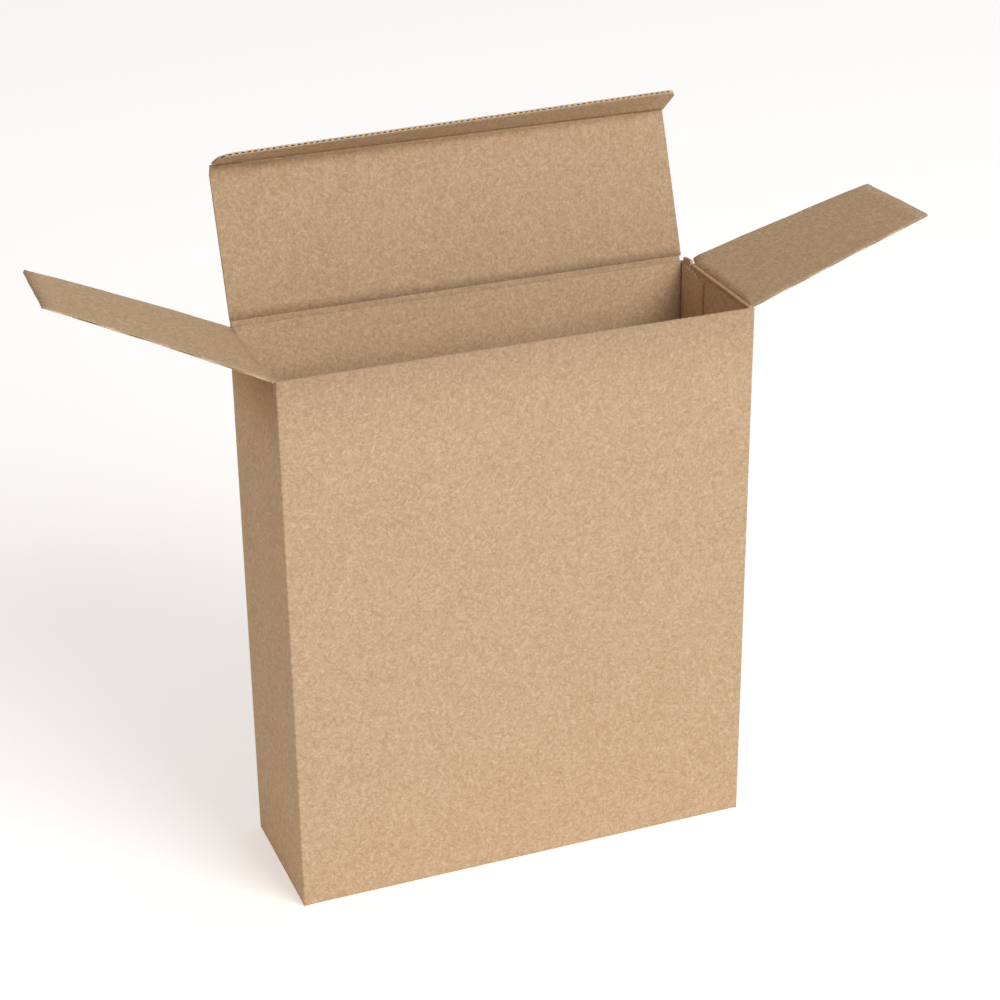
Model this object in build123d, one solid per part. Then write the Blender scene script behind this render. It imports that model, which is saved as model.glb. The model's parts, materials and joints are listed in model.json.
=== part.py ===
"""Bottle shipping box: one die-cut sheet of fine corrugated kraft board, folded and glued.

Four walls, a glue tab inside the back right corner and a glued bottom make the carton body.
A tuck lid is hinged on the back wall, with a slit-locked tuck flap on its front edge, and a
dust flap is hinged on each side wall. All folds are crushed creases of the same board.

Units are millimetres. The origin is the middle of the base, +X runs along the wide front,
+Y runs from the front wall to the back wall, and +Z is up. The box stands open.
"""
from build123d import *
import os
from math import cos, radians, sin

# Board
board = 1.5             # thickness of the corrugated board
fold_radius = 1.6       # outside radius of an upright fold

# Creases: the board is crushed thin along a fold line, which is the hinge axis
crushed = 0.6           # thickness left in the crushed strip
crush_ramp = 1.2        # from the fold line to where the board has its full thickness
crush_flat = 0.75       # from the fold line to where the ramp starts
fold_gap = 0.25         # clearance between the two sides of a fold line
overlap = 0.1           # by how much joined or cut shapes run into each other

# Carton body
box_width = 260.0       # outside, along X
box_depth = 85.0        # outside, along Y
box_height = 307.0      # from the base to the lid's fold line
tab_width = 26.0        # glue tab, measured forward from the back right fold
tab_relief = 6.0        # how far the tab's slanted top and bottom edges run back
seam_setback = 0.4      # right wall's cut rear edge, short of the back wall's face

# Bottom: side flaps lie inside, the back flap under them, the front flap outermost
bottom_side_reach = 62.0
bottom_back_reach = 58.0
bottom_slant = 9.0      # how far each bottom flap's free corners are cut back
bottom_gap = 1.5        # free edges stay this far from the walls

# Lid and tuck flap
lid_lean = 18.0         # degrees, how far the open lid leans back from upright
lid_left_inset = 0.8    # lid's left edge, in from the left wall's face
lid_right_inset = 3.2   # lid's right edge, in from the right wall's face
lid_taper = 1.6         # each side edge runs in by this much towards the tuck fold
lid_front_gap = 0.4     # closed tuck fold, behind the front wall's inner face
tuck_bend = 66.0        # degrees, how far the tuck flap is bent from the lid's plane
tuck_length = 19.0      # from the tuck fold to its free edge
tuck_corner = 9.0       # radius of the tuck flap's free corners
slit_length = 16.0      # lock slit at each end of the tuck fold
slit_width = 2.1        # from the tuck fold to the freed edge of the tuck flap

# Dust flaps
dust_gap = 0.2          # closed dust flaps, below the closed lid
dust_end_gap = 28.5     # between the free edges of the two dust flaps when closed
dust_back_gap = 0.5     # back edge at the fold line, in from the back wall
dust_front_gap = 3.1    # front edge at the fold line, in from the front wall, for the tuck flap
dust_taper = 15.0       # front edge runs in by this much towards the free edge
dust_corner = 2.0       # radius of the free corners
dust_relief_run = 10.0  # slanted cut at the back end of the fold line, along the fold
dust_relief_rise = 2.2  # and across it
left_rise = 25.0        # degrees above level, open left dust flap
right_rise = 15.0       # degrees above level, open right dust flap

# Worked out from the sizes above
half_width = box_width / 2
half_depth = box_depth / 2
half_board = board / 2
half_crushed = crushed / 2
lid_axis = (0, half_depth - half_board, box_height)
lid_length = box_depth - 2 * board - lid_front_gap
dust_axis_z = box_height - board - dust_gap
dust_front = dust_front_gap + board - half_depth
dust_back = half_depth - board - dust_back_gap
dust_length = half_width - half_board - dust_end_gap / 2
bottom_stack = 3 * board


def outline(points):
    """A flat face through the points, in order."""
    return make_face(Polyline(*points, close=True))


def crease_lip():
    """Half section of the swinging side of a fold, going out from the fold line, as (along, across)."""
    start = half_crushed + fold_gap
    return [(start, half_crushed), (crush_flat, half_crushed), (crush_ramp, half_board)]


def section(half_profile):
    """The whole board section from its upper half, mirrored through the board's middle."""
    lower = [(along, -across) for along, across in reversed(half_profile)]
    return half_profile + lower


def slab(half_profile, width):
    """A board panel hinged on the X axis: X along the fold, Y away from it, Z through the board."""
    face = Plane.YZ * outline(section(half_profile))
    return extrude(face, width / 2, both=True)


def nose_bar(width):
    """The rounded crushed edge that carries a fold line, along the X axis."""
    return Rot(0, 90, 0) * Cylinder(half_crushed, width)


def wall_crease(width):
    """Top edge of a wall below its fold line, on the X axis: ramp, crushed strip and round nose."""
    ramp = [(-crush_ramp, half_board), (-crush_flat, half_crushed), (0, half_crushed)]
    face = Plane.YZ * outline([(across, along) for along, across in section(ramp)])
    return extrude(face, width / 2, both=True) + nose_bar(width)


def ring():
    """Plan of the walls: the sheet's loop, with its lapped glue seam at the back right corner."""
    outer = Rectangle(box_width, box_depth)
    inner = Rectangle(box_width - 2 * board, box_depth - 2 * board)
    seam = Pos(half_width - half_board, half_depth) * Rectangle(board, 2 * seam_setback)
    fold_x = half_width - board
    groove = outline([
        (fold_x - fold_radius / 2, half_depth),
        (fold_x, half_depth),
        (fold_x, half_depth - fold_radius / 2),
    ])
    return outer - inner - seam - groove


def glue_tab():
    """The tab folded forward from the back wall and glued inside the right wall."""
    wall_face = half_width - board
    top = box_height - board - dust_gap - crush_ramp
    rear = half_depth - half_board
    front = half_depth - board - tab_width
    side = [
        (rear, bottom_stack),
        (rear, top),
        (half_depth - board, top),
        (front, top - tab_relief),
        (front, bottom_stack + tab_relief),
        (half_depth - board, bottom_stack),
    ]
    return Pos(wall_face, 0, 0) * extrude(Plane.YZ * outline(side), -board)


def bottom_flap(reach, width, level):
    """One bottom flap in plan: hinged on the X axis, reaching along +Y, its free corners slanted."""
    half = width / 2
    points = [(-half, 0), (half, 0), (half - bottom_slant, reach), (bottom_slant - half, reach)]
    return Pos(0, 0, level) * extrude(outline(points), board)


def bottom():
    """Three glued layers: front flap outermost, then the back flap, then the two side flaps."""
    inside_width = box_width - 2 * board
    inside_depth = box_depth - 2 * board
    front_reach = box_depth - board - bottom_gap
    front_plan = Pos(0, -half_depth + front_reach / 2, half_board)
    front = front_plan * Box(box_width - 2 * board, front_reach, board)
    back = Rot(0, 0, 180) * bottom_flap(bottom_back_reach, inside_width, board)
    back = Pos(0, half_depth - board, 0) * back
    left = Rot(0, 0, -90) * bottom_flap(bottom_side_reach, inside_depth, 2 * board)
    left = Pos(board - half_width, 0, 0) * left
    return [front, back, left, mirror(left, Plane.YZ)]


def carton_body():
    """Walls, glue tab and bottom as the one folded and glued sheet that they are."""
    walls = extrude(ring(), box_height)
    rim = 2 * (board + dust_gap + crush_ramp)
    back_top = box_height - crush_ramp
    walls -= Pos(0, half_depth, back_top + rim / 2) * Box(box_width + board, 2 * board, rim)
    side_top = dust_axis_z - crush_ramp
    for side in (-1, 1):
        side_cut = Pos(side * half_width, 0, side_top + rim / 2)
        walls -= side_cut * Box(2 * board, box_depth - 2 * board, rim)
    folds = walls.edges().filter_by(Axis.Z)
    corners = [e for e in folds if is_upright_fold(e)]
    walls = fillet(corners, fold_radius)
    lid_width = box_width - lid_left_inset - lid_right_inset
    lid_middle = (lid_left_inset - lid_right_inset) / 2
    walls += Pos(lid_middle, lid_axis[1], lid_axis[2]) * wall_crease(lid_width)
    fold_end = dust_back - dust_relief_run
    dust_middle = (dust_front + fold_end) / 2
    for side in (-1, 1):
        place = Pos(side * (half_width - half_board), dust_middle, dust_axis_z) * Rot(0, 0, 90)
        walls += place * wall_crease(fold_end - dust_front)
    for layer in bottom():
        walls += layer
    return walls + glue_tab()


def is_upright_fold(edge):
    """True for the outside edges of the four corner folds, but not for the cut seam edge."""
    middle = edge @ 0.5
    near = seam_setback / 10
    on_side = abs(abs(middle.X) - half_width) < near
    on_end = abs(abs(middle.Y) - half_depth) < near
    return on_side and on_end


def lid():
    """Lid panel in its own plane: fold line to the back wall on X, tuck fold at Y = lid_length."""
    profile = crease_lip() + [
        (lid_length - crush_ramp, half_board),
        (lid_length - crush_flat, half_crushed),
        (lid_length, half_crushed),
    ]
    left = lid_left_inset - half_width
    right = half_width - lid_right_inset
    plan = outline([
        (left, 0),
        (right, 0),
        (right - lid_taper, lid_length + board),
        (left + lid_taper, lid_length + board),
    ])
    middle, span = tuck_fold()
    panel = slab(profile, box_width) + Pos(0, lid_length, 0) * nose_bar(box_width)
    panel &= extrude(plan, board, both=True)
    freed = Pos(middle, lid_length, 0) * Box(box_width, crush_ramp * 2, board)
    kept = Pos(middle, lid_length, 0) * Box(span, crush_ramp * 2, board)
    return panel - (freed - kept)


def tuck_fold():
    """Middle and length along X of the tuck fold between its two lock slits."""
    left = lid_left_inset - half_width + lid_taper
    right = half_width - lid_right_inset - lid_taper
    return (left + right) / 2, right - left - 2 * slit_length


def tuck_flap():
    """Tuck flap in its own plane: fold line on X, free edge with rounded corners along Y."""
    middle, span = tuck_fold()
    profile = crease_lip() + [(tuck_length, half_board)]
    half = span / 2 + slit_length
    plan = outline([(-half, slit_width), (half, slit_width), (half, tuck_length), (-half, tuck_length)])
    free_corners = plan.vertices().group_by(Axis.Y)[-1]
    plan = fillet(free_corners, min(tuck_corner, tuck_length - slit_width - overlap))
    neck = Pos(0, slit_width / 2) * Rectangle(span, slit_width + overlap)
    panel = slab(profile, box_width) & extrude(plan + neck, board, both=True)
    return Pos(middle, 0, 0) * panel


def dust_flap(back_is_right):
    """Dust flap in its own plane: fold line on X, free edge along Y, back edge on one side."""
    profile = crease_lip() + [(dust_length, half_board)]
    plan = outline([
        (dust_front, 0),
        (dust_back - dust_relief_run, 0),
        (dust_back, dust_relief_rise),
        (dust_back, dust_length),
        (dust_front + dust_taper, dust_length),
    ])
    plan = fillet(plan.vertices().group_by(Axis.Y)[-1], dust_corner)
    panel = slab(profile, box_depth) & extrude(plan, board, both=True)
    return panel if back_is_right else mirror(panel, Plane.YZ)


def hinged_on_lid(shape):
    """Moves a panel from its own plane to the open lid's place on the back wall."""
    return Pos(*lid_axis) * Rot(90 - lid_lean, 0, 0) * shape


def on_side(shape, side, rise):
    """Moves a dust flap from its own plane to its open place on the left (-1) or right (1) wall."""
    place = Pos(side * (half_width - half_board), 0, dust_axis_z)
    return place * Rot(0, -side * rise, 0) * Rot(0, 0, -side * 90) * shape


parts = {
    "carton_body": carton_body(),
    "lid": hinged_on_lid(lid()),
    "tuck_flap": hinged_on_lid(Pos(0, lid_length, 0) * Rot(tuck_bend, 0, 0) * tuck_flap()),
    "left_dust_flap": on_side(dust_flap(back_is_right=True), -1, left_rise),
    "right_dust_flap": on_side(dust_flap(back_is_right=False), 1, right_rise),
}

os.makedirs("parts", exist_ok=True)
for name, shape in parts.items():
    export_step(shape, f"parts/{name}.step")

lid_reach = (lid_length * sin(radians(lid_lean)), lid_length * cos(radians(lid_lean)))
tuck_fold_at = (lid_axis[1] + lid_reach[0], lid_axis[2] + lid_reach[1])
print("lid hinge axis y, z:", lid_axis[1], lid_axis[2])
print("tuck fold y, z:", round(tuck_fold_at[0], 4), round(tuck_fold_at[1], 4))
print("dust flap hinge axes x, z:", half_width - half_board, dust_axis_z)
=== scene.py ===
# %% [markdown]
# # An open shipping box of fine corrugated board
# The box is one die-cut sheet: two flat paper liners glued to a wavy sheet between them. The packed
# model gives every size and every fold line. This script lays real three-layer board on that frame,
# so the waves show wherever a knife has cut across them, and the folds are crushed.

# %% The fixed frame
import json
import bpy
import numpy as np
from mathutils import Matrix, Vector


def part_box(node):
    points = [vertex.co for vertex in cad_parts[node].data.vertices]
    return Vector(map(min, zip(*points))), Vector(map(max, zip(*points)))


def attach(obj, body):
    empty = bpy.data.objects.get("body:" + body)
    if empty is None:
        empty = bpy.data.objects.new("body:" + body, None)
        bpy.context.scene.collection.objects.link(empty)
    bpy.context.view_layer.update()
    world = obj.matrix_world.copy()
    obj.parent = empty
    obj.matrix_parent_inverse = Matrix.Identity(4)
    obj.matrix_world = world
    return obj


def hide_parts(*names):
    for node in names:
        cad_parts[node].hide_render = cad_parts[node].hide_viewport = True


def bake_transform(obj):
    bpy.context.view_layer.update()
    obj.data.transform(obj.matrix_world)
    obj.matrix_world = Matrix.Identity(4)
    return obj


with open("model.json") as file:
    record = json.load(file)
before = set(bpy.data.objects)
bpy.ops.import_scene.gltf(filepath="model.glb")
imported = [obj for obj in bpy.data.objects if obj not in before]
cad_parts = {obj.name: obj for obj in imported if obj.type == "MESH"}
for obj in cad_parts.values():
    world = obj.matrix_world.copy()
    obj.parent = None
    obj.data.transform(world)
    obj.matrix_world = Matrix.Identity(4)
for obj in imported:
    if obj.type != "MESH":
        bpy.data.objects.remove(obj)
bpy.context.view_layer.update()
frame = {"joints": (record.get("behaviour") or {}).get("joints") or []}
joints = {joint["name"]: joint for joint in frame["joints"]}

# %% [markdown]
# ## Camera
# The camera comes first, because every later look is judged through it. It stands to the left of the
# front and looks down, through a long lens that keeps the upright edges almost parallel. The matrix
# has the camera's own right, up and backward directions as its columns.

# %% Camera
MM = 0.001
aim = Vector((8.9, 16.5, 192.3)) * MM
azimuth, elevation, roll = np.radians([-21.008, 25.564, -0.688])
distance = 1323.0 * MM
level = Vector((np.cos(azimuth), np.sin(azimuth), 0))
back = Vector((
    np.sin(azimuth) * np.cos(elevation),
    -np.cos(azimuth) * np.cos(elevation),
    np.sin(elevation),
))
rise = back.cross(level)
right = level * np.cos(roll) + rise * np.sin(roll)
up = back.cross(right)
camera = bpy.data.objects.new("camera", bpy.data.cameras.new("camera"))
camera.data.lens = 87.26
camera.data.sensor_width = 36
bpy.context.scene.collection.objects.link(camera)
turned_to = Matrix((right, up, back)).transposed().to_4x4()
camera.matrix_world = Matrix.Translation(aim + back * distance) @ turned_to
bpy.context.scene.camera = camera
print("camera at", [round(value, 3) for value in camera.matrix_world.translation])

# %% [markdown]
# ## The board and the box in numbers
# Fine flute board is 1.5 mm thick and has a wave every 3.3 mm. The box's own width, depth and height
# and the places of its fold lines are read from the frame, so that nothing is fitted by eye.

# %% Sizes of the board
BOARD = 1.5 * MM
HALF = BOARD / 2
LINER = 0.3 * MM
FLUTING = 0.15 * MM
PITCH = 3.3 * MM
TORN = 0.4 * MM
FOLD_RADIUS = 1.0 * MM
BEND = FOLD_RADIUS - HALF
CREASED = 0.63
CREASED_REACH = 1.2 * MM
print("waves in one front wall:", int(256 * MM / PITCH))

# %% Sizes of the box
body_low, body_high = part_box("carton_body")
width = body_high.x - body_low.x
depth = body_high.y - body_low.y
lid_fold = np.array(joints["lid_fold"]["pos_m"])
tuck_fold = np.array(joints["tuck_fold"]["pos_m"])
left_fold = np.array(joints["left_flap_fold"]["pos_m"])
right_fold = np.array(joints["right_flap_fold"]["pos_m"])
height = lid_fold[2]
lid_run = (tuck_fold - lid_fold)[1:]
lid_length = float(np.hypot(*lid_run))
lid_angle = float(np.arctan2(*lid_run))
TUCK_BEND, LEFT_RISE, RIGHT_RISE = np.radians([66, 25, 15])
tuck_angle = lid_angle - TUCK_BEND
left_angle = np.pi / 2 - LEFT_RISE
right_angle = np.pi / 2 - RIGHT_RISE
print("lid length", round(lid_length, 4), "leaning", round(np.degrees(lid_angle), 1))

# %% [markdown]
# ## One path round all the walls
# The four walls and the glue tab are one strip, bent at four upright folds. A point on it needs only
# its distance along the strip. Each straight run and each quarter circle adds its own step, clipped
# to its own length, so whole arrays are bent at once and no corner is modelled twice.

# %% The strip's runs
X_MID = width / 2 - HALF
Y_MID = depth / 2 - HALF
SEAM_BACK = 0.4 * MM
TAB = 26 * MM
TAB_INSET = BOARD + 0.03 * MM
QUARTER = BEND * np.pi / 2
start = np.array([X_MID, depth / 2 - SEAM_BACK])
runs = [
    start[1] + Y_MID - BEND,
    2 * (X_MID - BEND),
    2 * (Y_MID - BEND),
    2 * (X_MID - BEND) - TAB_INSET,
    Y_MID - BEND - (depth / 2 - BOARD - TAB),
]
run_starts = np.concatenate([[0], np.cumsum([run + QUARTER for run in runs[:-1]])])
RIGHT, FRONT, LEFT, BACK, TAB_START = run_starts
STRIP = TAB_START + runs[4]
print("length of the strip round the box:", round(STRIP, 4))


# %% The strip as a path
def along_walls(s):
    """Middle of the board seen from above, and its outward direction, at distance s along the strip.
    A straight run adds its heading times the distance; a quarter circle of radius r adds
    r sin(a) ahead and r (1 - cos(a)) to the right, where a is the distance turned."""
    heading = -np.pi / 2
    x = np.full_like(s, start[0])
    y = np.full_like(s, start[1])
    bent = np.zeros_like(s)
    for begin, run in zip(run_starts, runs):
        ahead = np.clip(s - begin, 0, run)
        turn = np.clip((s - begin - run) / BEND, 0, np.pi / 2) * (begin < TAB_START)
        step = ahead + BEND * np.sin(turn)
        aside = BEND * (1 - np.cos(turn))
        x += step * np.cos(heading) + aside * np.sin(heading)
        y += step * np.sin(heading) - aside * np.cos(heading)
        bent += turn
        heading -= np.pi / 2
    facing = -np.pi / 2 - bent
    return x, y, -np.sin(facing), np.cos(facing)


def on_front(x):
    """Distance along the strip of a place on the front wall."""
    return FRONT + X_MID - BEND - x


def on_left(y):
    """Distance along the strip of a place on the left wall."""
    return LEFT + Y_MID - BEND + y


def on_back(x):
    """Distance along the strip of a place on the back wall."""
    return BACK + X_MID - BEND + x


def on_right(y):
    """Distance along the strip of a place on the right wall."""
    return RIGHT + start[1] - y


# %% [markdown]
# ## Small unevenness
# Nothing folded by hand is straight. A few sine waves with unrelated lengths give an unevenness that
# never repeats over one edge and is the same each time.

# %% Unevenness
def uneven(u, seed, length=0.03):
    """Sum of three sine waves of u, with lengths in the ratio 1 : 0.44 : 0.19, between about -1 and 1."""
    turns = 2 * np.pi * u / length
    slow = np.sin(turns + seed)
    middle = 0.6 * np.sin(turns / 0.44 + 2.3 * seed)
    quick = 0.4 * np.sin(turns / 0.19 + 5.1 * seed)
    return (slow + middle + quick) / 2


def smooth(t):
    """Smooth step: 0 below 0, 1 above 1, and 3 t^2 - 2 t^3 between."""
    t = np.clip(t, 0, 1)
    return t * t * (3 - 2 * t)


def pressed(w, near):
    """Board crushed for a fold keeps its outer face: w becomes half - (half - w) c, where c grows from
    the creased share to 1 as near, the distance from the fold, grows to the crease's reach."""
    left_over = CREASED + (1 - CREASED) * smooth(near / CREASED_REACH)
    return HALF - (HALF - w) * left_over


# %% [markdown]
# ## Closed shells from grids
# Every layer of paper is a thin closed shell: an upper grid, a lower grid and a rim that joins their
# borders. The rim is where the knife went, so it gets its own paler paper. If the signed volume
# comes out negative, the shell is inside out and all its faces are turned round.

# %% Faces of a grid shell
KRAFT, CUT, WAVE = 0, 1, 2


def shell(upper, lower, sheet, face_mat):
    """One closed shell from two (n, m, 3) grids. Corner (i, j) of the lower grid is n m numbers
    after the same corner of the upper one."""
    n, m = upper.shape[:2]
    index = np.arange(n * m).reshape(n, m)
    top = np.stack([index[:-1, :-1], index[1:, :-1], index[1:, 1:], index[:-1, 1:]], -1).reshape(-1, 4)
    border = np.concatenate([index[:, 0], index[-1, 1:], index[-2::-1, -1], index[0, -2:0:-1]])
    after = np.roll(border, -1)
    rim = np.stack([after, border, border + n * m, after + n * m], -1)
    faces = np.concatenate([top, top[:, ::-1] + n * m, rim])
    points = np.concatenate([upper.reshape(-1, 3), lower.reshape(-1, 3)])
    a, b, c, d = (points[faces[:, k]] for k in range(4))
    volume = np.einsum("ij,ij->", a, np.cross(b, c)) + np.einsum("ij,ij->", a, np.cross(c, d))
    if volume < 0:
        faces = faces[:, ::-1]
    mats = np.full(len(faces), face_mat)
    mats[2 * len(top):] = CUT
    plane = np.concatenate([sheet.reshape(-1, 2)] * 2)
    return points, faces, plane, mats


# %% One mesh from many shells
def make_piece(name, shells, materials):
    """Joins the shells into one mesh, with the sheet's own coordinates, in metres, as its UV map."""
    counts = np.cumsum([0] + [len(part[0]) for part in shells[:-1]])
    points = np.concatenate([part[0] for part in shells])
    faces = np.concatenate([part[1] + count for part, count in zip(shells, counts)])
    plane = np.concatenate([part[2] for part in shells])
    mats = np.concatenate([part[3] for part in shells])
    mesh = bpy.data.meshes.new(name)
    mesh.from_pydata(points.tolist(), [], faces.tolist())
    mesh.polygons.foreach_set("material_index", mats.astype(np.int32))
    mesh.polygons.foreach_set("use_smooth", mats != CUT)
    sheet = mesh.uv_layers.new(name="sheet")
    sheet.data.foreach_set("uv", plane[faces.reshape(-1)].astype(np.float32).reshape(-1))
    for material in materials:
        mesh.materials.append(material)
    mesh.update()
    piece = bpy.data.objects.new(name, mesh)
    bpy.context.scene.collection.objects.link(piece)
    print(name, "triangles:", 2 * len(faces))
    return piece


# %% [markdown]
# ## Three layers of board
# A panel is given by its two end lines, low(u) and high(u), where u runs across the waves. Columns
# stay parallel to the waves, so a slanted or rounded edge simply ends each column sooner, and the
# knife shows the waves just as it does on the real sheet. It drags torn paper into the hollows on the
# outer side, so only those on the inner side stay dark. A place function bends the flat panel.

# %% Board panel
def board(place, left, right, low, high, rows=8, step=1.1 * MM, extra=(), shift=0.0, marks=()):
    """Outer liner, fluting and inner liner of a panel. The fluting is the wave
    w(u) = (half the board - liner - half the fluting) sin(2 pi u / pitch), and its outer face rises
    to the outer liner where the knife has torn it. Marks are shares of the length with a row each."""
    count = max(int((right - left) / step), 8)
    columns = np.union1d(np.linspace(left, right, count), np.clip(extra, left, right))
    waves = np.linspace(left, right, max(int((right - left) / PITCH * 10), 8))
    share = np.linspace(0, 1, rows)
    shells = []
    for offset, mat in ((HALF, KRAFT), (-HALF, KRAFT), (0, WAVE)):
        u = waves if mat == WAVE else columns
        t = share if mat == KRAFT else share[:: max(rows // 3, 1)]
        ends = low(u, offset), high(u, offset)
        longest = np.max(ends[1] - ends[0])
        near_cut = [1 - TORN / longest, 1 - TORN / longest / 3] if mat == WAVE else []
        t = np.union1d(t, [1.0, *marks, *near_cut])
        v = ends[0][:, None] + (ends[1] - ends[0])[:, None] * t
        u = np.broadcast_to(u[:, None], v.shape)
        if mat == WAVE:
            swing = HALF - LINER - FLUTING / 2 + 0.01 * MM
            centre = swing * np.sin(2 * np.pi * u / PITCH)
            torn = smooth(1 - (ends[1][:, None] - v) / TORN)
            faces = (centre + FLUTING / 2 + torn * (swing - centre), centre - FLUTING / 2)
        else:
            inner = offset - np.sign(offset) * LINER
            faces = (np.full(v.shape, max(offset, inner)), np.full(v.shape, min(offset, inner)))
        sheet = np.stack([u + shift + (offset < 0), v], -1)
        grids = [np.stack(place(u, v, w), -1) for w in faces]
        shells.append(shell(grids[0], grids[1], sheet, mat))
    return shells


# %% Cut edges
TOOTH = 0.16 * MM


def knife(level, offset_seed=0.0, teeth=TOOTH):
    """End line cut straight across the waves: paper springs back a little over each hollow, so the
    line is level - tooth |sin(pi u / pitch)|, and it wanders by a tenth of a millimetre."""
    def line(u, offset):
        spring = teeth * np.abs(np.sin(np.pi * u / PITCH + offset / HALF))
        return level - spring + 0.06 * MM * uneven(u, offset_seed + offset / HALF, 0.02)
    return line


def flat(level):
    """End line with no knife marks, where the board goes on into a crushed fold."""
    return lambda u, offset: np.full_like(u, level)


# %% [markdown]
# ## Paper, cut edge and fluting
# Kraft paper is brown pulp: cloudy at the size of a hand, and covered with short curled fibres, some
# paler and some darker than the ground. Noise whose place is warped by more noise gives such curls.
# The kraft patterns follow the flat sheet, so a fold carries them round, as it does on the real board.

# %% Node helpers
def new_material(name, roughness):
    """A principled material and its two working parts."""
    material = bpy.data.materials.new(name)
    material.use_nodes = True
    shader = material.node_tree.nodes["Principled BSDF"]
    shader.inputs["Roughness"].default_value = roughness
    shader.inputs["Specular IOR Level"].default_value = 0.05
    return material, material.node_tree, shader


def add_noise(tree, source, scale, detail=2.0, distortion=0.0, roughness=0.5):
    """Noise over the sheet, with scale in waves a metre."""
    node = tree.nodes.new("ShaderNodeTexNoise")
    node.inputs["Scale"].default_value = scale
    node.inputs["Detail"].default_value = detail
    node.inputs["Roughness"].default_value = roughness
    node.inputs["Distortion"].default_value = distortion
    tree.links.new(source, node.inputs["Vector"])
    return node.outputs["Fac"]


def add_math(tree, operation, *values):
    """One arithmetic step. Each value is a number or a socket."""
    node = tree.nodes.new("ShaderNodeMath")
    node.operation = operation
    for socket, value in zip(node.inputs, values):
        if isinstance(value, (int, float)):
            socket.default_value = value
        else:
            tree.links.new(value, socket)
    return node.outputs[0]


def add_range(tree, value, low, high, to_low, to_high):
    """Maps low..high to to_low..to_high, clipped, with soft ends."""
    node = tree.nodes.new("ShaderNodeMapRange")
    node.interpolation_type = "SMOOTHSTEP"
    tree.links.new(value, node.inputs["Value"])
    for name, number in zip(("From Min", "From Max", "To Min", "To Max"), (low, high, to_low, to_high)):
        node.inputs[name].default_value = number
    return node.outputs["Result"]


def add_mix(tree, share, first, second):
    """Blend of two colours, each a tuple or a socket."""
    node = tree.nodes.new("ShaderNodeMix")
    node.data_type = "RGBA"
    tree.links.new(share, node.inputs["Factor"])
    for socket, value in ((node.inputs["A"], first), (node.inputs["B"], second)):
        if isinstance(value, tuple):
            socket.default_value = (*value, 1)
        else:
            tree.links.new(value, socket)
    return node.outputs["Result"]


def add_bump(tree, shader, layers):
    """Chains bump layers, each a (height, strength, distance) triple, into the shader's normal."""
    last = None
    for height_socket, strength, reach in layers:
        node = tree.nodes.new("ShaderNodeBump")
        node.inputs["Strength"].default_value = strength
        node.inputs["Distance"].default_value = reach
        tree.links.new(height_socket, node.inputs["Height"])
        if last is not None:
            tree.links.new(last, node.inputs["Normal"])
        last = node.outputs["Normal"]
    tree.links.new(last, shader.inputs["Normal"])


# %% Kraft liner
GROUND_LOW = (0.540, 0.377, 0.235)
GROUND_HIGH = (0.562, 0.397, 0.251)
PALE = (0.690, 0.520, 0.358)
DARK = (0.400, 0.252, 0.135)
FLECK = (0.270, 0.160, 0.085)
FIBRE_SCALE = 700


def fibre_strokes(tree, place, operation, seed):
    """Short curled strokes in every direction: four noises, each stretched along its own direction,
    joined by their largest or smallest value at each point."""
    joined = None
    for turn in (12, 58, 101, 149):
        aimed = tree.nodes.new("ShaderNodeMapping")
        aimed.vector_type = "TEXTURE"
        aimed.inputs["Location"].default_value = (seed, seed / 2, turn)
        aimed.inputs["Rotation"].default_value = (0, 0, np.radians(turn + 9 * seed))
        aimed.inputs["Scale"].default_value = (2.8, 1.0, 1.0)
        tree.links.new(place, aimed.inputs["Vector"])
        stroke = add_noise(tree, aimed.outputs["Vector"], FIBRE_SCALE, 1.0, 0.9, 0.4)
        joined = stroke if joined is None else add_math(tree, operation, joined, stroke)
    return joined


def kraft_paper():
    """Faint clouds, curled pale and dark fibres, sparse flecks and a faint washboard along the waves."""
    material, tree, shader = new_material("kraft_liner", 0.85)
    sheet = tree.nodes.new("ShaderNodeUVMap")
    sheet.uv_map = "sheet"
    place = sheet.outputs["UV"]
    clouds = add_noise(tree, place, 30, 4, 0.8, 0.6)
    grain = add_noise(tree, place, 900, 2, 0.6)
    pale = add_range(tree, fibre_strokes(tree, place, "MAXIMUM", 1.0), 0.56, 0.74, 0, 1)
    dark = add_range(tree, fibre_strokes(tree, place, "MINIMUM", 3.0), 0.44, 0.26, 0, 1)
    flecks = add_range(tree, add_noise(tree, place, 420, 1, 0.3), 0.72, 0.80, 0, 1)
    ground = add_mix(tree, add_range(tree, clouds, 0.30, 0.72, 0, 1), GROUND_LOW, GROUND_HIGH)
    grained = add_mix(tree, add_range(tree, grain, 0.30, 0.70, 0, 0.16), ground, DARK)
    with_pale = add_mix(tree, add_math(tree, "MULTIPLY", pale, 0.58), grained, PALE)
    with_dark = add_mix(tree, add_math(tree, "MULTIPLY", dark, 0.50), with_pale, DARK)
    final = add_mix(tree, add_math(tree, "MULTIPLY", flecks, 0.30), with_dark, FLECK)
    tree.links.new(final, shader.inputs["Base Color"])
    across = tree.nodes.new("ShaderNodeSeparateXYZ")
    tree.links.new(place, across.inputs[0])
    turns = add_math(tree, "MULTIPLY", across.outputs["X"], 2 * np.pi / PITCH)
    waves = add_math(tree, "SINE", turns)
    strength = add_range(tree, add_noise(tree, place, 16, 2), 0.35, 0.65, 0.25, 1)
    washboard = add_math(tree, "MULTIPLY", waves, strength)
    fibres = add_math(tree, "SUBTRACT", pale, dark)
    add_bump(tree, shader, [(washboard, 0.5, 0.00003), (fibres, 0.35, 0.00009)])
    return material


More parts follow.
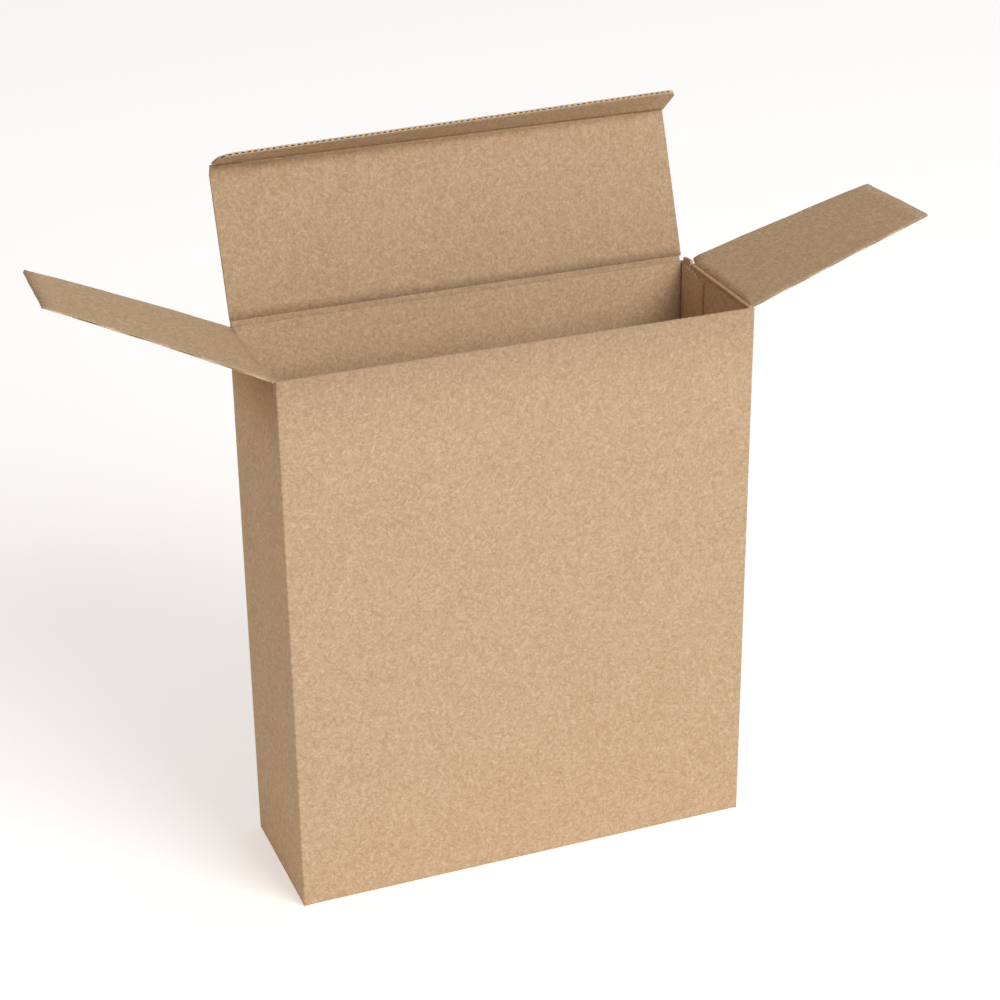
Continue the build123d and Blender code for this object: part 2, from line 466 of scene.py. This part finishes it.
# %% Cut paper and fluting
def cut_paper():
    """The knife's edge: torn pale fibres with brown between them."""
    material, tree, shader = new_material("cut_edge", 0.9)
    place = tree.nodes.new("ShaderNodeTexCoord").outputs["Object"]
    torn = add_noise(tree, place, 1400, 2, 0.5)
    tone = add_mix(tree, add_range(tree, torn, 0.35, 0.65, 0, 1), (0.52, 0.38, 0.25), (0.72, 0.57, 0.41))
    tree.links.new(tone, shader.inputs["Base Color"])
    add_bump(tree, shader, [(torn, 0.6, 0.00008)])
    return material


def wavy_paper():
    """Recycled fluting: a greyer, darker brown with a coarse grain."""
    material, tree, shader = new_material("fluting", 0.92)
    place = tree.nodes.new("ShaderNodeTexCoord").outputs["Object"]
    grain = add_noise(tree, place, 700, 3, 0.8)
    tone = add_mix(tree, add_range(tree, grain, 0.3, 0.7, 0, 1), (0.34, 0.235, 0.145), (0.48, 0.345, 0.225))
    tree.links.new(tone, shader.inputs["Base Color"])
    add_bump(tree, shader, [(grain, 0.5, 0.00006)])
    return material


papers = [kraft_paper(), cut_paper(), wavy_paper()]
print("materials:", [paper.name for paper in papers])

# %% [markdown]
# ## The walls
# The top line of the strip changes from wall to wall. The front wall ends at a cut edge at full
# height. Each side wall stops where its crushed fold begins, with a short slope at the front corner
# and a small tongue behind. The back wall stops below the lid's fold. One interpolated line says all
# that. The walls are also very slightly bowed, as a filled and emptied box is.

# %% Top line of the strip
LID_CREASE = 1.5 * MM
SIDE_CREASE = 1.25 * MM
side_fold_z = left_fold[2]
back_top = height - LID_CREASE
side_top = side_fold_z - SIDE_CREASE
FLAP_FRONT = -37.9 * MM
FLAP_BACK = 40.5 * MM
FOLD_END = FLAP_BACK - 8 * MM
LEFT_TONGUE = 0.7 * MM
RIGHT_TONGUE = 2.9 * MM
TONGUE_FALL = 0.7 * MM
TAB_RISE = 1.2 * MM
TAB_DROP = 2.4 * MM


def side_line(tongue):
    """Top line of a side wall from front to back: cut edge, slope, fold, and the tongue that stands
    beside the end of the fold where the knife has freed the flap."""
    return [
        (-Y_MID - HALF, height),
        (-Y_MID + 0.4 * MM, height - 0.1 * MM),
        (FLAP_FRONT - 0.4 * MM, side_fold_z + 0.2 * MM),
        (FLAP_FRONT, side_top),
        (FOLD_END, side_top),
        (FOLD_END + 0.3 * MM, side_fold_z + 0.7 * tongue),
        (FOLD_END + 1.0 * MM, side_fold_z + tongue),
        (FLAP_BACK, side_fold_z + tongue - TONGUE_FALL),
    ]


right_line = [(on_right(y), z) for y, z in reversed(side_line(RIGHT_TONGUE))]
left_line = [(on_left(y), z) for y, z in side_line(LEFT_TONGUE)]
tab_line = [
    (BACK, back_top),
    (TAB_START - QUARTER, back_top),
    (TAB_START, side_top + TAB_RISE),
    (STRIP, side_top - TAB_DROP),
]
seam_top = side_fold_z + RIGHT_TONGUE - 1.4 * TONGUE_FALL
top_line = np.array([(0, seam_top)] + right_line + left_line + tab_line)


def wall_top(u, offset):
    """Height of the cut or creased top edge at each place along the strip."""
    line = np.interp(u, top_line[:, 0], top_line[:, 1])
    cut = (line > height - 0.3 * MM) | (u > TAB_START)
    spring = TOOTH * np.abs(np.sin(np.pi * u / PITCH + offset / HALF))
    wander = 0.07 * MM * uneven(u, 1.0 + offset / HALF, 0.024)
    return line - cut * (spring - wander)


def wall_bottom(u, offset):
    """Where the bottom fold begins. The upright folds reach down past it to the floor, and the glue
    tab is cut back in a slant."""
    slant = np.interp(u, [TAB_START, STRIP], [0, 9 * MM])
    nearest = np.min([np.abs(u - fold) for fold in run_starts[1:4] - QUARTER / 2], axis=0)
    return 0.15 * MM + (FOLD_RADIUS - 0.15 * MM) * smooth((nearest - QUARTER / 2) / (0.8 * MM)) + slant


# %% Walls
def bow(s, z):
    """Inward sag of each wall: a half sine across it times a half sine up it."""
    bulge = np.zeros_like(s)
    for begin, run, swell in zip(run_starts, runs, (0.25, 0.5, 0.3, 0.4, 0)):
        across = np.sin(np.pi * np.clip((s - begin) / run, 0, 1))
        bulge += swell * MM * across * np.sin(np.pi * np.clip(z / height, 0, 1))
    return bulge


def on_walls(s, z, w):
    """Bends the flat strip round the box. The glue tab's free edge is crushed against the wall."""
    x, y, nx, ny = along_walls(s)
    upright = np.min([np.abs(s - fold) for fold in run_starts[1:] - QUARTER / 2], axis=0) - QUARTER / 2
    near = np.clip(np.minimum(upright, z - FOLD_RADIUS), 0, None)
    tab_end = smooth((s - STRIP + 1.4 * MM) / (1.3 * MM))
    out = HALF - (HALF - pressed(w, near)) * (1 - 0.70 * tab_end) - bow(s, z)
    return x + out * nx, y + out * ny, z + 0 * s


bends = np.concatenate([np.linspace(begin + run, begin + run + QUARTER, 7)
                        for begin, run in zip(run_starts[:-1], runs[:-1])])
beside = np.concatenate([bends + sign * gap * MM for sign in (-1, 1) for gap in (0.12, 0.6, 1.2)])
breaks = np.concatenate([top_line[:, 0], bends, beside])
walls = board(on_walls, 0.0, STRIP, wall_bottom, wall_top, rows=8, step=0.7 * MM, extra=breaks,
              marks=(0.0004, 0.002, 0.004))
carton_walls = make_piece("carton_walls", walls, papers)
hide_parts("carton_body")
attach(carton_walls, "carton")

# %% [markdown]
# ## The bottom
# The bottom is folded in and glued: two side flaps inside, the back flap under them, and the front
# flap covering the whole underside. Each wall turns in over the same radius as the upright folds.
# The side and back walls show only that turned edge below, beside the front flap's cut edge.

# %% Bottom folds
FLOOR_GAP = 1.5 * MM
front_reach = depth - BOARD - FLOOR_GAP


def turned_in(s, v, w):
    """Board bent inward under the box: a quarter circle first, then level. v runs down and in."""
    x, y, nx, ny = along_walls(s)
    turn = np.clip(v / BEND, 0, np.pi / 2)
    inward = BEND * (1 - np.cos(turn)) + np.clip(v - QUARTER, 0, None)
    thick = pressed(w, np.clip(v - QUARTER, 0, None))
    out = thick * np.cos(turn) - inward
    return x + out * nx, y + out * ny, FOLD_RADIUS - (BEND + thick) * np.sin(turn)


def under_flap(left, right, reach, slant=0.0):
    """A solid-looking turned edge or flap in three layers, with slanted ends."""
    def high(u, offset):
        inside = np.minimum(u - left, right - u)
        cut = reach + 0.1 * MM * uneven(u, 4.0 + offset / HALF, 0.03)
        return np.minimum(cut, reach * (inside + 0.6 * MM) / slant) if slant else cut
    spread = np.concatenate([left + np.linspace(0, slant, 12), right - np.linspace(0, slant, 12)])
    bend = np.linspace(0, QUARTER, 5) / reach
    return board(turned_in, left, right, flat(0.0), high, rows=5, step=2.2 * MM, extra=spread,
                 marks=(*bend, *(bend[-1] + np.array([0.6, 1.2]) * MM / reach)))


side_room = 1.2 * MM
under = under_flap(on_front(X_MID - side_room), on_front(side_room - X_MID), front_reach)
under += under_flap(on_back(BEND - X_MID), on_back(X_MID - 3 * MM), QUARTER + 0.5 * MM)
under += under_flap(on_left(BEND - Y_MID), on_left(Y_MID - BEND), QUARTER + 0.7 * MM)
under += under_flap(on_right(Y_MID - BEND), on_right(BEND - Y_MID), QUARTER + 0.7 * MM)


# %% Inner bottom flaps
def lying(level):
    """Board lying level inside the box, reaching inward from a wall, its outer face down."""
    def place(s, v, w):
        x, y, nx, ny = along_walls(s)
        inward = HALF + 0.05 * MM + v
        return x - inward * nx, y - inward * ny, level + HALF - w
    return place


def inner_flap(left, right, reach, layer, slant=9 * MM):
    """One glued flap, its free corners slanted."""
    def high(u, offset):
        inside = np.minimum(u - left, right - u)
        return np.minimum(reach, 0.4 * MM + reach * inside / slant)
    spread = np.concatenate([left + np.linspace(0, slant, 12), right - np.linspace(0, slant, 12)])
    return board(lying(layer * BOARD), left, right, flat(0.0), high, rows=6, step=2.2 * MM, extra=spread)


inside_x = X_MID - BOARD
inside_y = Y_MID - BOARD
under += inner_flap(on_back(-inside_x), on_back(inside_x), 58 * MM, 1)
under += inner_flap(on_left(-inside_y), on_left(inside_y), 62 * MM, 2)
under += inner_flap(on_right(inside_y), on_right(-inside_y), 62 * MM, 2)
carton_bottom = make_piece("carton_bottom", under, papers)
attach(carton_bottom, "carton")


# %% [markdown]
# ## Hinged panels
# A flap in its own plane has u along the fold, v away from it and w out of its printed face. Turning
# v and w about the fold line puts it in its open place. The angle may differ from point to point,
# which is how the tuck flap gets its slight twist.

# %% Turning about a fold
def turned(point, along, outward, angle, u, v, w):
    """Point on a panel leaning outward by angle: v points cos(a) up and sin(a) out,
    and w points cos(a) out and sin(a) down."""
    out = v * np.sin(angle) + w * np.cos(angle)
    lift = v * np.cos(angle) - w * np.sin(angle)
    return tuple(point[k] + along[k] * u + outward[k] * out + (k == 2) * lift for k in range(3))


EAST, WEST = np.array([1.0, 0, 0]), np.array([-1.0, 0, 0])
NORTH, SOUTH = np.array([0, 1.0, 0]), np.array([0, -1.0, 0])


def crease(name, bodies, point, along, outward, angles, left, right, half_width, shift, v0, depth,
           inner=1.0, sharp=1.0):
    """A crushed fold: board thickness at both ends, a flat-bottomed groove on both faces, and an
    angle that passes smoothly from one panel's to the other's. The bodies argument is not used. The
    inner face's groove is the outer one's times inner, and the turn takes a share, sharp, of the
    fold's width."""
    count = int((right - left) / (1.1 * MM))
    u = np.linspace(left, right, count)[:, None]
    share = np.linspace(-1, 1, 25)[None, :]
    v = half_width * share + 0 * u
    shallow, full = depth
    across = (u - left) / (right - left)
    deep = (shallow + (full - shallow) * across) * (1 + 0.18 * uneven(u, shift, 0.05))
    groove = deep * (1 - smooth((np.abs(share) - 0.30) / 0.55))
    angle = angles[0] + (angles[1] - angles[0]) * smooth((share / sharp + 1) / 2)
    u = u + 0 * v
    grids = [np.stack(turned(point, along, outward, angle, u, v, w), -1)
             for w in (HALF - groove, inner * groove - HALF)]
    sheet = np.stack([u + shift, v + v0], -1)
    piece = make_piece(name, [shell(grids[0], grids[1], sheet, KRAFT)], papers)
    inset = half_width - HALF * np.sin(abs(angles[1] - angles[0]) / 2) - 0.12 * MM
    inset *= 0.3 + 0.7 * sharp
    for side, angle in zip((-1, 1), angles):
        turned(point, along, outward, angle, 0.0, side * inset, 0.0)
    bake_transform(piece)


# %% [markdown]
# ## The lid
# The lid is a plain panel between two folds. Its right side runs in a little towards the tuck fold,
# and a slit at each end of that fold frees an ear. The ear reaches just past the fold. Its inner face
# is the large pale field behind the opening, so its faint washboard matters more than anywhere else.

# %% Lid
LEFT_TAPER, RIGHT_TAPER = 0.9 * MM, 1.6 * MM
LEFT_RUN = 4.5 * MM
EAR = 0.4 * MM
LID_LEFT = 0.7 * MM - width / 2
LID_RIGHT = width / 2 - 3.2 * MM
tuck_left = LID_LEFT + 1.7 * MM
tuck_root = LID_RIGHT - RIGHT_TAPER
TUCK_CREASE = 1.25 * MM
SLIT = 16 * MM
slit_ends = tuck_left + SLIT, tuck_root - SLIT
lid_point = np.array([0, lid_fold[1], lid_fold[2]])
tuck_point = np.array([0, tuck_fold[1], tuck_fold[2]])
lid_shift = on_back(0.0)


def lid_edge(u):
    """How far a column near a side edge reaches. The right edge runs in by its taper all the way up,
    and the left one only near its end, where it has to pass the front corner of the walls."""
    at_right = LID_CREASE + 0.3 * MM + (lid_length + EAR - LID_CREASE) * (LID_RIGHT - u) / RIGHT_TAPER
    at_left = lid_length - LEFT_RUN * (1 - (u - LID_LEFT) / LEFT_TAPER)
    return np.minimum(at_right, at_left)


def lid_high(u, offset):
    """Upper end: the tuck fold in the middle, and a free cut edge beyond each slit."""
    freed = (u < slit_ends[0]) | (u > slit_ends[1])
    top = lid_length + np.where(freed, EAR, -TUCK_CREASE)
    spring = freed * TOOTH * np.abs(np.sin(np.pi * u / PITCH + offset / HALF))
    return np.minimum(top - spring, lid_edge(u))


def on_lid(u, v, w):
    """The lid's plane, very slightly hollow between its two folds."""
    across = np.sin(np.pi * (u - LID_LEFT) / (LID_RIGHT - LID_LEFT))
    hollow = 0.5 * MM * np.sin(np.pi * np.clip(v / lid_length, 0, 1)) * across
    return turned(lid_point, EAST, NORTH, lid_angle, u, v, w + hollow)


edges = np.concatenate([LID_LEFT + np.linspace(0, LEFT_TAPER, 4), LID_RIGHT - np.linspace(0, RIGHT_TAPER, 8),
                        slit_ends, [slit_ends[0] - 0.1 * MM, slit_ends[1] + 0.1 * MM]])
lid_shells = board(on_lid, LID_LEFT, LID_RIGHT, flat(LID_CREASE), lid_high, rows=14, extra=edges,
                   shift=lid_shift)
lid_panel = make_piece("lid_panel", lid_shells, papers)
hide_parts("lid")
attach(lid_panel, "lid")
crease("lid_crease", ("carton", "lid"), lid_point, EAST, NORTH, (0.0, lid_angle),
       LID_LEFT + 0.1 * MM, LID_RIGHT - 1.0 * MM, LID_CREASE, lid_shift, height,
       (0.18 * MM, 0.34 * MM), inner=0.6)

# %% [markdown]
# ## The tuck flap
# The tuck flap is narrow, and at each end a slit frees it from the lid. Its free edge is cut across
# the waves, so it shows them best of all. Its left corner is a wide curve and its right corner a
# tight one that stands out past the lid, and it is bent further at the left than at the right.

# %% Tuck flap
TUCK_LENGTH = 19 * MM
LEFT_CORNER, RIGHT_CORNER = 10 * MM, 5 * MM
SLIT_WIDTH = 1.2 * MM
TWIST = np.radians([-11.0, 4.5])
FLARE = 2.4 * MM
tuck_right = tuck_root + FLARE


def round_corner(inside, radius):
    """How much a quarter circle takes off a column that stands this far inside the side edge."""
    reach = np.clip(radius - inside, 0, radius)
    return radius - np.sqrt(radius ** 2 - reach ** 2)


def tuck_high(u, offset):
    """Free edge: cut across the waves, with a rounded corner at each end."""
    cut = knife(TUCK_LENGTH, 3.0)(u, offset)
    return cut - round_corner(u - tuck_left, LEFT_CORNER) - round_corner(tuck_right - u, RIGHT_CORNER)


def tuck_low(u, offset):
    """Near edge: the fold in the middle, the slit's cut edge at both ends, and at the right a side
    edge that slants outward by the flare on its way to the corner."""
    freed = (u < slit_ends[0]) | (u > slit_ends[1])
    slant = (TUCK_LENGTH - RIGHT_CORNER - 0.5 * MM) * (u - tuck_root) / FLARE
    return np.maximum(np.where(freed, SLIT_WIDTH, TUCK_CREASE), slant)


def on_tuck(u, v, w):
    """The tuck flap's plane, twisted along its length and slightly curled."""
    share = (u - tuck_left) / (tuck_right - tuck_left)
    twist = TWIST[0] * (1 - share) + TWIST[1] * share
    away = smooth((v - TUCK_CREASE) / (6 * MM))
    return turned(tuck_point, EAST, NORTH, tuck_angle + twist * away, u, v, w)


rounding = np.concatenate([
    tuck_left + LEFT_CORNER * (1 - np.cos(np.linspace(0, np.pi / 2, 14))),
    tuck_right - RIGHT_CORNER * (1 - np.cos(np.linspace(0, np.pi / 2, 10))),
    [tuck_root, *slit_ends, slit_ends[0] - 0.1 * MM, slit_ends[1] + 0.1 * MM],
])
tuck_shells = board(on_tuck, tuck_left, tuck_right, tuck_low, tuck_high, rows=9, step=0.55 * MM,
                    extra=rounding, shift=lid_shift)
tuck_panel = make_piece("tuck_panel", tuck_shells, papers)
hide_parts("tuck_flap")
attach(tuck_panel, "tuck")
crease("tuck_crease", ("lid", "tuck"), tuck_point, EAST, NORTH, (lid_angle, tuck_angle), *slit_ends,
       TUCK_CREASE, lid_shift, height + lid_length, (0.22 * MM, 0.26 * MM))

# %% [markdown]
# ## The dust flaps
# The two dust flaps are alike but turned the other way round. Their long edges run along the waves,
# so each shows two paper lines with a dark slot between them, and their free ends show the waves.
# The front edge tapers, a hooked cut frees the back end of the fold, and each flap is gently bowed.

# %% Dust flaps
FLAP_LENGTH = 115 * MM
FLAP_TAPER = 15 * MM
FLAP_CORNER = 2 * MM
FRONT_LONGER = 3 * MM
HOOK_RUN = 3.5 * MM
HOOK_RISE = 5 * MM


def dust_flap(name, node, body, point, along, outward, angle, shift, droop, front_lift, back_taper,
              tongue):
    """One dust flap. u runs from the front edge to the back edge, or the other way on the right. The
    flap is bowed by a quarter of droop, its front corner is bent by front_lift, its back edge runs in
    by back_taper, and beside the wall's tongue it is cut back."""
    forward = along[1]

    def inside_front(u):
        return u * forward - FLAP_FRONT

    def inside_back(u):
        return FLAP_BACK - u * forward

    def high(u, offset):
        front_share = inside_back(u) / (FLAP_BACK - FLAP_FRONT)
        cut = knife(FLAP_LENGTH, 2.0 + shift)(u, offset) + FRONT_LONGER * front_share
        taper = SIDE_CREASE + (FLAP_LENGTH - SIDE_CREASE) * (inside_front(u) + 0.25 * MM) / FLAP_TAPER
        slope = SIDE_CREASE + (FLAP_LENGTH - SIDE_CREASE) * (inside_back(u) + 0.25 * MM) / back_taper
        rounded = round_corner(inside_back(u) - back_taper, FLAP_CORNER)
        return np.minimum(np.minimum(cut, taper), slope) - rounded

    def low(u, offset):
        beside_tongue = (tongue - 0.9 * MM) * (inside_back(u) < FLAP_BACK - FOLD_END - 0.05 * MM)
        hook = HOOK_RISE * np.clip(1 - inside_back(u) / HOOK_RUN, 0, 1) ** 2
        return SIDE_CREASE + np.maximum(beside_tongue, 0) + hook * tongue / RIGHT_TONGUE

    def place(u, v, w):
        reach = v / FLAP_LENGTH
        back_share = np.clip(inside_front(u) / (FLAP_BACK - FLAP_FRONT), 0, 1)
        lift = front_lift * (1 - back_share) * reach ** 2
        sag = droop * reach * (1 - reach)
        curl = 0.25 * MM * uneven(u, 5.0 + shift, 0.09) * reach
        along_edge = (v - SIDE_CREASE) / (FLAP_LENGTH - SIDE_CREASE)
        edge = np.minimum(inside_front(u) - FLAP_TAPER * along_edge, inside_back(u) - back_taper * along_edge)
        pinch = (0.40 + 0.22 * uneven(v, 6.0 + shift, 0.05)) * (1 - smooth(edge / (1.4 * MM)))
        return turned(point, along, outward, angle, u, v, w * (1 - pinch) - sag - lift + curl)

    ends = sorted((FLAP_FRONT * forward, FLAP_BACK * forward))
    front_columns = forward * (FLAP_FRONT + np.linspace(0, FLAP_TAPER + 1.5 * MM, 48))
    back_columns = forward * (FLAP_BACK - np.linspace(0, back_taper + FLAP_CORNER, 18))
    hook_columns = forward * np.concatenate([
        FLAP_BACK - np.linspace(0, HOOK_RUN, 8), [FOLD_END, FOLD_END + 0.1 * MM]])
    shells = board(place, *ends, low, high, rows=20, step=0.8 * MM,
                   extra=np.concatenate([front_columns, back_columns, hook_columns]), shift=shift)
    piece = make_piece(name, shells, papers)
    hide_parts(node)
    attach(piece, body)
    spans = sorted((FLAP_FRONT * forward + 0.1 * MM * forward, FOLD_END * forward))
    crease(name + "_crease", ("carton", body), point, along, outward, (0.0, angle), *spans,
           SIDE_CREASE, shift, side_fold_z, (0.26 * MM, 0.26 * MM), inner=0, sharp=0.4)


LEFT_DROOP, RIGHT_DROOP = 2.4 * MM, 1.68 * MM
RIGHT_FRONT_LIFT = 1.0 * MM
LEFT_BACK_TAPER = 5.5 * MM
RIGHT_BACK_TAPER = 0.2 * MM
left_point = np.array([left_fold[0], 0, left_fold[2]])
right_point = np.array([right_fold[0], 0, right_fold[2]])
dust_flap("left_dust_flap_board", "left_dust_flap", "left_flap", left_point, NORTH, WEST, left_angle,
          on_left(0.0), LEFT_DROOP, 0.0, LEFT_BACK_TAPER, LEFT_TONGUE)
dust_flap("right_dust_flap_board", "right_dust_flap", "right_flap", right_point, SOUTH, EAST, right_angle,
          on_right(0.0), RIGHT_DROOP, RIGHT_FRONT_LIFT, RIGHT_BACK_TAPER, RIGHT_TONGUE)

# %% [markdown]
# ## Floor and light
# The box stands on a plain white floor in a soft room. The floor glows faintly beside and behind the
# box, as a lit table does. One wide light stands in front and to the right, low enough that the
# upright front is brighter than the level flaps. The room is dimmer and warmer to the left, so the
# left wall is a deeper brown.

# %% Floor
floor_mesh = bpy.data.meshes.new("floor")
far = 40.0
floor_mesh.from_pydata([(-far, -far, 0), (far, -far, 0), (far, far, 0), (-far, far, 0)], [], [(0, 1, 2, 3)])
floor = bpy.data.objects.new("floor", floor_mesh)
bpy.context.scene.collection.objects.link(floor)
floor_paper, floor_tree, floor_shader = new_material("floor", 0.9)
floor_shader.inputs["Base Color"].default_value = (0.93, 0.93, 0.93, 1)
floor_shader.inputs["Emission Color"].default_value = (1, 1, 1, 1)
floor_spot = floor_tree.nodes.new("ShaderNodeSeparateXYZ")
floor_place = floor_tree.nodes.new("ShaderNodeTexCoord").outputs["Object"]
floor_tree.links.new(floor_place, floor_spot.inputs[0])
glow = add_range(floor_tree, floor_spot.outputs["Y"], -0.9, -0.3, 0.0, 0.40)
floor_tree.links.new(glow, floor_shader.inputs["Emission Strength"])
floor_mesh.materials.append(floor_paper)
floor.location.z = -0.2 * MM

# %% Room and soft light
room = bpy.data.worlds.new("room")
room.use_nodes = True
sky = room.node_tree.nodes["Background"]
sky.inputs["Strength"].default_value = 0.49
toward = room.node_tree.nodes.new("ShaderNodeSeparateXYZ")
direction = room.node_tree.nodes.new("ShaderNodeTexCoord").outputs["Generated"]
room.node_tree.links.new(direction, toward.inputs[0])
rightward = add_range(room.node_tree, toward.outputs["X"], -1.0, 0.1, 0, 1)
tint = add_mix(room.node_tree, rightward, (0.71, 0.51, 0.35), (1.0, 1.0, 1.0))
room.node_tree.links.new(tint, sky.inputs["Color"])
bpy.context.scene.world = room
bpy.context.scene.view_settings.view_transform = "Standard"


def soft_light(name, place, target, size, power):
    """A square area light at place, facing target."""
    light = bpy.data.lights.new(name, "AREA")
    light.size = size
    light.energy = power
    lamp = bpy.data.objects.new(name, light)
    bpy.context.scene.collection.objects.link(lamp)
    lamp.location = place
    lamp.rotation_mode = "QUATERNION"
    lamp.rotation_quaternion = (Vector(target) - Vector(place)).to_track_quat("-Z", "Y")


soft_light("key", (1.5, -3.1, 2.5), (0, 0, 0.2), 2.4, 100)
